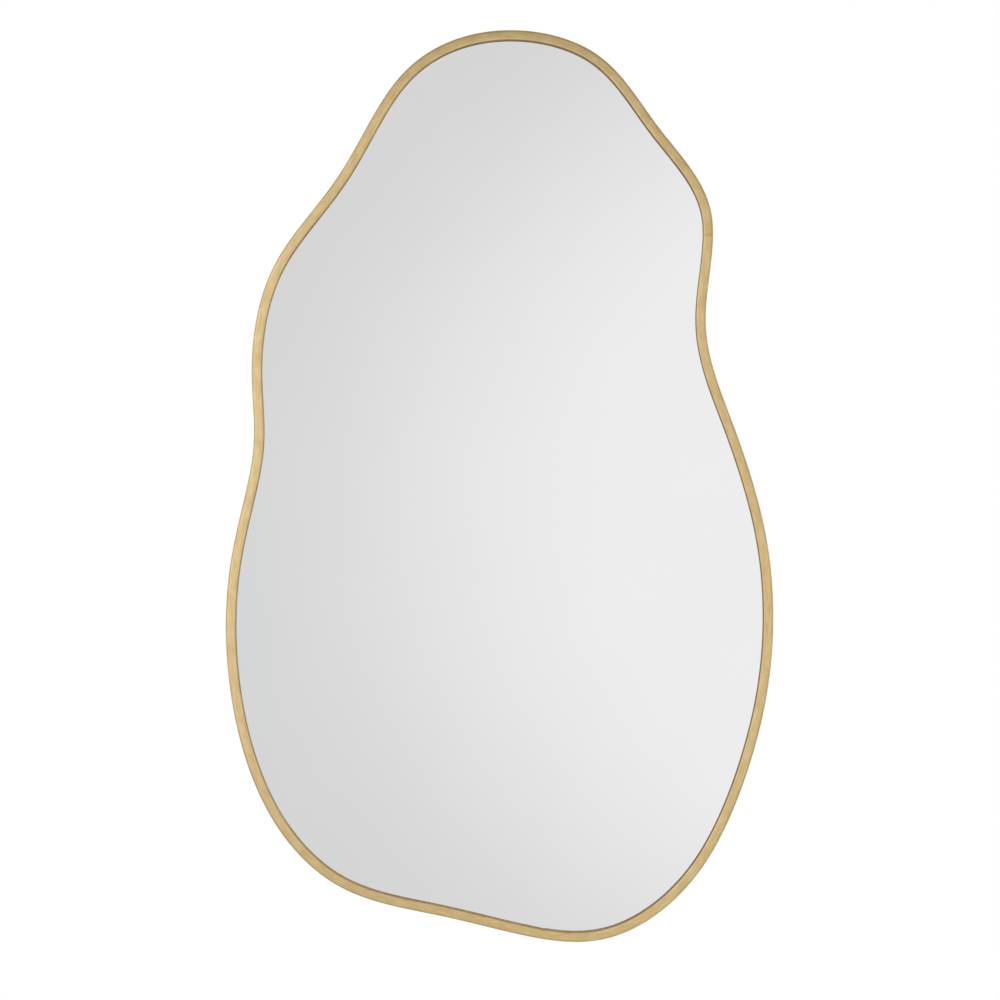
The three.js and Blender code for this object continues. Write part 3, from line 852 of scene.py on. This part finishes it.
def cross_recess(radius, top, depth):
    """A cross-shaped tool whose wings taper towards its tip. top is the head's outer plane."""
    def cross(reach, half):
        quarter = [Vector((reach, -half)), Vector((reach, half)), Vector((half, half))]
        turns = [Matrix.Rotation(math.pi / 2 * k, 2) for k in range(4)]
        return [turn @ corner for turn in turns for corner in quarter]

    outer = cross(radius * WING_REACH * 1.1, radius * WING_HALF * 1.15)
    inner = cross(radius * WING_REACH * 0.5, radius * WING_HALF * 0.8)
    verts = [(p.x, top + 0.15 * depth, p.y) for p in outer]
    verts += [(p.x, top - depth, p.y) for p in inner]
    count = len(outer)
    faces = [range(count), range(count, 2 * count)]
    for i in range(count):
        n = (i + 1) % count
        faces.append((i, n, count + n, count + i))
    return build("tool", verts, faces)


def screws():
    for order, node in enumerate(sorted(n for n in frame["nodes"] if "screw" in n)):
        low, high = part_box(node)
        middle = (low + high) / 2
        radius = (high.x - low.x) / 2
        shank, rise = screw_size(node)["shank"], screw_size(node)["rise"]
        flat, seat = radius - rise, high.y - rise
        profile = [
            (0, low.y), (0.3 * MM, low.y + 0.2 * MM), (shank, low.y + SCREW_POINT), (shank, seat),
            (radius - 0.15 * MM, seat),
        ]
        for angle in np.linspace(math.radians(5), math.pi / 2, 10):
            profile.append((flat + rise * math.cos(angle), seat + rise * math.sin(angle)))
        piece = revolve(node + "_body", profile + [(0, high.y)], 48)
        cut(piece, [cross_recess(radius, high.y, rise * RECESS_DEPTH)])
        piece.data.transform(Matrix.Rotation(order * SCREW_TURN, 4, "Y"))
        piece.data.transform(Matrix.Translation((middle.x, 0, middle.z)))
        stand_for(piece, node, finish=ZINC)


# ---------------------------------------------------------------- ring hangers

BAR_RADIUS = RING_WIRE / 2
BOW_RADIUS = STRAP_WIDTH / 2 + RING_SIDE_PLAY + BAR_RADIUS
BOW_CENTRE = BOW_RADIUS - RING_REACH - BAR_RADIUS
FOLD_INNER = BAR_RADIUS + RING_PLAY
FOLD_OUTER = FOLD_INNER + STRAP_SHEET
FOLD_TURN = math.radians(135)
KNEE_BEND = 1.2 * MM
LEAF_GAP = 0.1 * MM  # the parting line between the strap's two leaves


def strap_line():
    """The middle of the strap's sheet, from one leaf's end round the bar to the other's.

    Points are (up the wall, towards the wall) from the bar's axis."""
    middle = FOLD_INNER + STRAP_SHEET / 2
    board_leaf, wall_leaf = -middle, STRAP_SHEET - middle + LEAF_GAP
    end = STRAP_WIDTH / 2 - STRAP_LENGTH
    round_end = list(end - round_steps(STRAP_WIDTH / 2, 12)[::-1])
    line = [(up, board_leaf) for up in round_end + list(np.linspace(end, 0, 18)[1:-1])]
    for angle in np.linspace(-math.pi / 2, FOLD_TURN, 28):
        line.append((middle * math.cos(angle), middle * math.sin(angle)))
    last = np.array(line[-1])
    down = np.array([-1, -1]) / math.sqrt(2)
    knee = last + down * (last[1] - wall_leaf) * math.sqrt(2)
    start, finish = knee - down * KNEE_BEND, knee - np.array([KNEE_BEND, 0])
    for t in np.linspace(0, 1, 8):
        line.append(tuple((1 - t) ** 2 * start + 2 * t * (1 - t) * knee + t**2 * finish))
    straight = list(np.linspace(line[-1][0], end, 14)[1:-1])
    line += [(up, wall_leaf) for up in straight + round_end[::-1]]
    return np.array(line)


def ring_hangers():
    line = strap_line()
    half = STRAP_WIDTH / 2
    past_round = np.clip(half - STRAP_LENGTH - line[:, 0], 0, half)
    widths = np.sqrt(np.clip(half**2 - past_round**2, (0.4 * MM) ** 2, None))
    sides = offset_sheet(line, STRAP_SHEET)
    for side in ("left", "right"):
        joint = next(j for j in frame["joints"] if j["name"] == f"ring_{side}_swing")
        bar_at = Vector(joint["pos_m"])

        def place(across, point, at=bar_at):
            return at.x + across, at.y + point[1], at.z + point[0]

        strap = closed_sheet(f"hanger_strap_{side}_fold", sides, widths, place, columns=13)
        radius = HANGER_SCREW["shank"] + SCREW_HOLE_CLEARANCE
        cut(strap, [
            bar(radius, BOARD_Y[1] - HOLE_MARGIN, 0, bar_at.x, bar_at.z - below)
            for below in STRAP_HOLES
        ])
        soften(strap, SOFT_EDGE)
        stand_for(strap, f"hanger_strap_{side}", finish=ZINC)
        wire = ring(f"hanger_ring_{side}_wire", bar_at)
        stand_for(wire, f"hanger_ring_{side}", finish=ZINC, body=f"ring_{side}")


def ring_line():
    """The wire's middle line from its joint inside the fold, round the bow and back, as (x, z)."""
    corner = BOW_RADIUS - RING_CORNER

    def arc(x, z, radius, start, end, steps):
        angles = np.linspace(start, end, steps + 1)
        return [(x + radius * math.cos(a), z + radius * math.sin(a)) for a in angles]

    line = [(RING_JOINT / 2 + (corner - RING_JOINT / 2) * k / 8, 0) for k in range(8)]
    line += arc(corner, -RING_CORNER, RING_CORNER, math.pi / 2, 0, 12)
    line += arc(0, BOW_CENTRE, BOW_RADIUS, 0, -math.pi, 64)
    line += arc(-corner, -RING_CORNER, RING_CORNER, math.pi, math.pi / 2, 12)
    line += [(-corner + (corner - RING_JOINT / 2) * k / 8, 0) for k in range(1, 9)]
    return np.array(line)


def ring(name, bar_at):
    """The D-shaped ring, hanging down over the strap so that its bow leans on the strap's edges."""
    line = ring_line()
    slope = np.gradient(line, axis=0)
    slope /= np.linalg.norm(slope, axis=1)[:, None]
    sides = 20
    over_strap = 2 * STRAP_SHEET + GAP + BAR_RADIUS - FOLD_OUTER
    down_to_edge = math.sqrt(BOW_RADIUS**2 - (STRAP_WIDTH / 2) ** 2) - BOW_CENTRE
    lean = Matrix.Rotation(math.asin(over_strap / down_to_edge), 3, "X")
    chamfer = 0.25 * MM
    verts = []
    for i, ((x, z), (dx, dz)) in enumerate(zip(line, slope)):
        radius = BAR_RADIUS - (chamfer if i in (0, len(line) - 1) else 0)
        for k in range(sides):
            a = 2 * math.pi * k / sides
            out = radius * math.cos(a)
            point = Vector((x - dz * out, radius * math.sin(a), z + dx * out))
            verts.append(lean @ point + bar_at)
    faces = [range(sides), range(len(verts) - sides, len(verts))]
    for i in range(len(line) - 1):
        for k in range(sides):
            n = (k + 1) % sides
            faces.append((i * sides + k, (i + 1) * sides + k, (i + 1) * sides + n, i * sides + n))
    return build(name, verts, faces)


# ---------------------------------------------------------------- bumpers


def bumpers():
    for node in sorted(n for n in frame["nodes"] if n.startswith("bumper")):
        low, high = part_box(node)
        middle = (low + high) / 2
        base = (high.x - low.x) / 2
        skirt, shoulder = low.y + BUMPER_SKIRT, high.y - BUMPER_ROUNDING
        profile = [(0, low.y), (base - BUMPER_CHAMFER, low.y), (base, low.y + BUMPER_CHAMFER)]
        foot = base - BUMPER_STEP
        for share in np.linspace(0, 1, 6):
            profile.append((
                foot - (foot - BUMPER_TIP_RADIUS) * share, skirt + (shoulder - skirt) * share,
            ))
        flat = BUMPER_TIP_RADIUS - BUMPER_ROUNDING
        for angle in np.linspace(0, math.pi / 2, 9)[1:]:
            profile.append((
                flat + BUMPER_ROUNDING * math.cos(angle),
                shoulder + BUMPER_ROUNDING * math.sin(angle),
            ))
        piece = revolve(node + "_button", profile + [(0, high.y)], 64)
        piece.data.transform(Matrix.Translation((middle.x, 0, middle.z)))
        stand_for(piece, node, finish=RUBBER)


frame_rails()
splice_keys()
mirror_glass()
foam_tapes()
backing_board()
retaining_tabs()
screws()
ring_hangers()
bumpers()

# ---------------------------------------------------------------- studio

CAMERA_DISTANCE = 2.68  # from the frame's face
CAMERA_AT = Vector((0.0005, FACE_Y - CAMERA_DISTANCE, -0.2755))
LENS, SENSOR = 86.65, 36
SOFT_LIGHT, SEEN_WHITE = 0.7, 1  # the world's strength as a light and as a background
KEY = {"at": (2.0, -1.2, 0.9), "target": (0, 0, -0.26), "size": (1.6, 1.6), "power": 70}

FLOOR_Z = -1.8
FLOOR_REACH = 16
FLOOR_TONE = 0.75
FADE_CENTRE_Y = -1.2
FADE_NEAR, FADE_FAR = 4.0, 5.2  # from the fade's centre, where the floor turns white

CARD_Y, CARD_HALF_WIDTH, CARD_TOP = -4.5, 7, 6.0
CARD_TURNS_WHITE = (3.0, 4.6)  # between which distances to either side
SIGHT_LINE = CAMERA_DISTANCE - CARD_Y  # from the camera by way of the mirror to the card
POOL_AT, POOL_SIZE = (0.2914, -0.007), (0.4221, 0.2901)  # of the pool of light, per sight line
POOL_CORE = 0.5581  # the share of its size within which it has its full level
SILVERING = 0.93  # what the mirror gives back
POOL_LEVEL, ROUND_POOL = 0.8425 / SILVERING, 0.6639 / SILVERING
ALL = (-9, -8)  # a band that every part of the card is past
CARD_SHADES = (  # between which x and which z a shade comes in, and its level
    ((-0.8, -1.7), ALL, 1.9), ((-0.8, -1.7), (-1.2, 0.3), 1.3), ((-2.0, -3.0), ALL, 0.45),
    ((1.0, 2.0), ALL, 0.62), ((0.8, 1.8), (-0.4, 0.8), 0.6), ((1.9, 2.7), ALL, 1.7),
    (ALL, (1.3, 2.3), 0.2),
)
COOL_IN, COOL_OUT = (-0.6, -1.6), (-3.4, -2.4)  # the x where a cooler strip comes in and goes
NEUTRAL, COOL = (1, 1, 1), (0.98, 1.0, 1.25)


def camera():
    data = bpy.data.cameras.new("camera")
    data.lens, data.sensor_width = LENS, SENSOR
    made = bpy.data.objects.new("camera", data)
    made.location = CAMERA_AT
    made.rotation_euler = (math.pi / 2, 0, 0)
    bpy.context.scene.collection.objects.link(made)
    bpy.context.scene.camera = made


def stage_plane(name, corners):
    mesh = bpy.data.meshes.new(name)
    mesh.from_pydata(corners, [], [range(len(corners))])
    plane = bpy.data.objects.new(name, mesh)
    bpy.context.scene.collection.objects.link(plane)
    return plane


def seen_ray(tree):
    """1 on camera, glossy and transmission rays, and 0 on the others."""
    path = tree.nodes.new("ShaderNodeLightPath")
    total = path.outputs["Is Camera Ray"]
    for name in ("Is Glossy Ray", "Is Transmission Ray"):
        add = tree.nodes.new("ShaderNodeMath")
        add.operation, add.use_clamp = "ADD", True
        tree.links.new(total, add.inputs[0])
        tree.links.new(path.outputs[name], add.inputs[1])
        total = add.outputs[0]
    return total


def show_mix(f, share, first, second, plane):
    """Gives a stage plane the mix of two shaders."""
    mix = f.node("MixShader")
    for source, socket in zip((share, first.outputs[0], second.outputs[0]), mix.inputs):
        f.join(source, socket)
    f.join(mix.outputs[0], f.tree.nodes["Material Output"].inputs["Surface"])
    plane.data.materials.append(f.material)


def floor():
    """A pale matt floor that fades into the white background a few metres away."""
    far = FLOOR_REACH
    corners = [(-far, -far), (far, -far), (far, far), (-far, far)]
    plane = stage_plane("floor", [(x, y, FLOOR_Z) for x, y in corners])
    f = Finish(
        "floor", Base_Color=(FLOOR_TONE, FLOOR_TONE, FLOOR_TONE, 1), Roughness=0.85,
        Specular_IOR_Level=0.2,
    )
    place = f.node("TexCoord").outputs["Object"]
    away = f.node("VectorMath", operation="LENGTH")
    f.join(f.mapped(place, (1, 1, 0), (0, -FADE_CENTRE_Y, 0)), away.inputs[0])
    faded = f.spread(away.outputs["Value"], FADE_NEAR, FADE_FAR)
    shown = f.maths("MULTIPLY", faded, seen_ray(f.tree))
    show_mix(f, shown, f.shader, f.node("Emission"), plane)


def studio_card():
    """The pale wall behind the camera, which only reflections show.

    The mirror shows its soft pool of light. The brass also sees its brighter left side, its dimmer
    right side and its dark top."""
    wide, low, high = CARD_HALF_WIDTH, FLOOR_Z, CARD_TOP
    card = stage_plane("studio_card", [
        (-wide, CARD_Y, low), (wide, CARD_Y, low), (wide, CARD_Y, high), (-wide, CARD_Y, high),
    ])
    card.visible_camera = card.visible_diffuse = card.visible_shadow = False
    f = Finish("studio_card")
    place = f.node("TexCoord").outputs["Object"]
    vector = place
    for operation, value in (
        ("SUBTRACT", (POOL_AT[0] * SIGHT_LINE, CARD_Y, CAMERA_AT.z + POOL_AT[1] * SIGHT_LINE)),
        ("DIVIDE", (POOL_SIZE[0] * SIGHT_LINE, 1, POOL_SIZE[1] * SIGHT_LINE)),
    ):
        step = f.node("VectorMath", operation=operation)
        f.join(vector, step.inputs[0])
        step.inputs[1].default_value = value
        vector = step.outputs[0]
    away = f.node("VectorMath", operation="LENGTH")
    f.join(vector, away.inputs[0])
    level = f.spread(away.outputs["Value"], POOL_CORE, 1.0, POOL_LEVEL, ROUND_POOL)
    at = f.node("SeparateXYZ")
    f.join(place, at.inputs[0])
    x, z = at.outputs["X"], at.outputs["Z"]
    for along_x, along_z, share in CARD_SHADES:
        here = f.maths("MULTIPLY", f.spread(x, *along_x), f.spread(z, *along_z))
        level = f.maths("MULTIPLY", level, f.maths("MULTIPLY_ADD", here, share - 1, third=1))
    cool = f.maths("MULTIPLY", f.spread(x, *COOL_IN), f.spread(x, *COOL_OUT))
    light = f.node("Emission")
    f.join(level, light.inputs["Strength"])
    f.join(f.blend(cool, NEUTRAL, COOL), light.inputs["Color"])
    aside = f.spread(f.maths("ABSOLUTE", x), *CARD_TURNS_WHITE)
    show_mix(f, aside, light, f.node("Emission"), card)


def area_light(name, at, target, size, power):
    """A soft lamp for the matt surfaces. Metal and glass don't show it."""
    data = bpy.data.lights.new(name, "AREA")
    data.shape = "RECTANGLE"
    data.size, data.size_y = size
    data.energy = power
    made = bpy.data.objects.new(name, data)
    made.location = at
    made.rotation_euler = (Vector(target) - Vector(at)).to_track_quat("-Z", "Y").to_euler()
    made.visible_glossy = False
    bpy.context.scene.collection.objects.link(made)


def world():
    """Even soft light, and a white background for what the camera, metal and glass see."""
    made = bpy.data.worlds.new("world")
    bpy.context.scene.world = made
    made.use_nodes = True
    tree = made.node_tree
    tree.nodes.clear()
    soft, white = (tree.nodes.new("ShaderNodeBackground") for _ in range(2))
    for light, strength in ((soft, SOFT_LIGHT), (white, SEEN_WHITE)):
        light.inputs["Color"].default_value = (1, 1, 1, 1)
        light.inputs["Strength"].default_value = strength
    mix = tree.nodes.new("ShaderNodeMixShader")
    tree.links.new(seen_ray(tree), mix.inputs[0])
    tree.links.new(soft.outputs[0], mix.inputs[1])
    tree.links.new(white.outputs[0], mix.inputs[2])
    output = tree.nodes.new("ShaderNodeOutputWorld")
    tree.links.new(mix.outputs[0], output.inputs["Surface"])


camera()
floor()
studio_card()
world()
area_light("key", **KEY)
bpy.context.scene.view_settings.view_transform = "Standard"
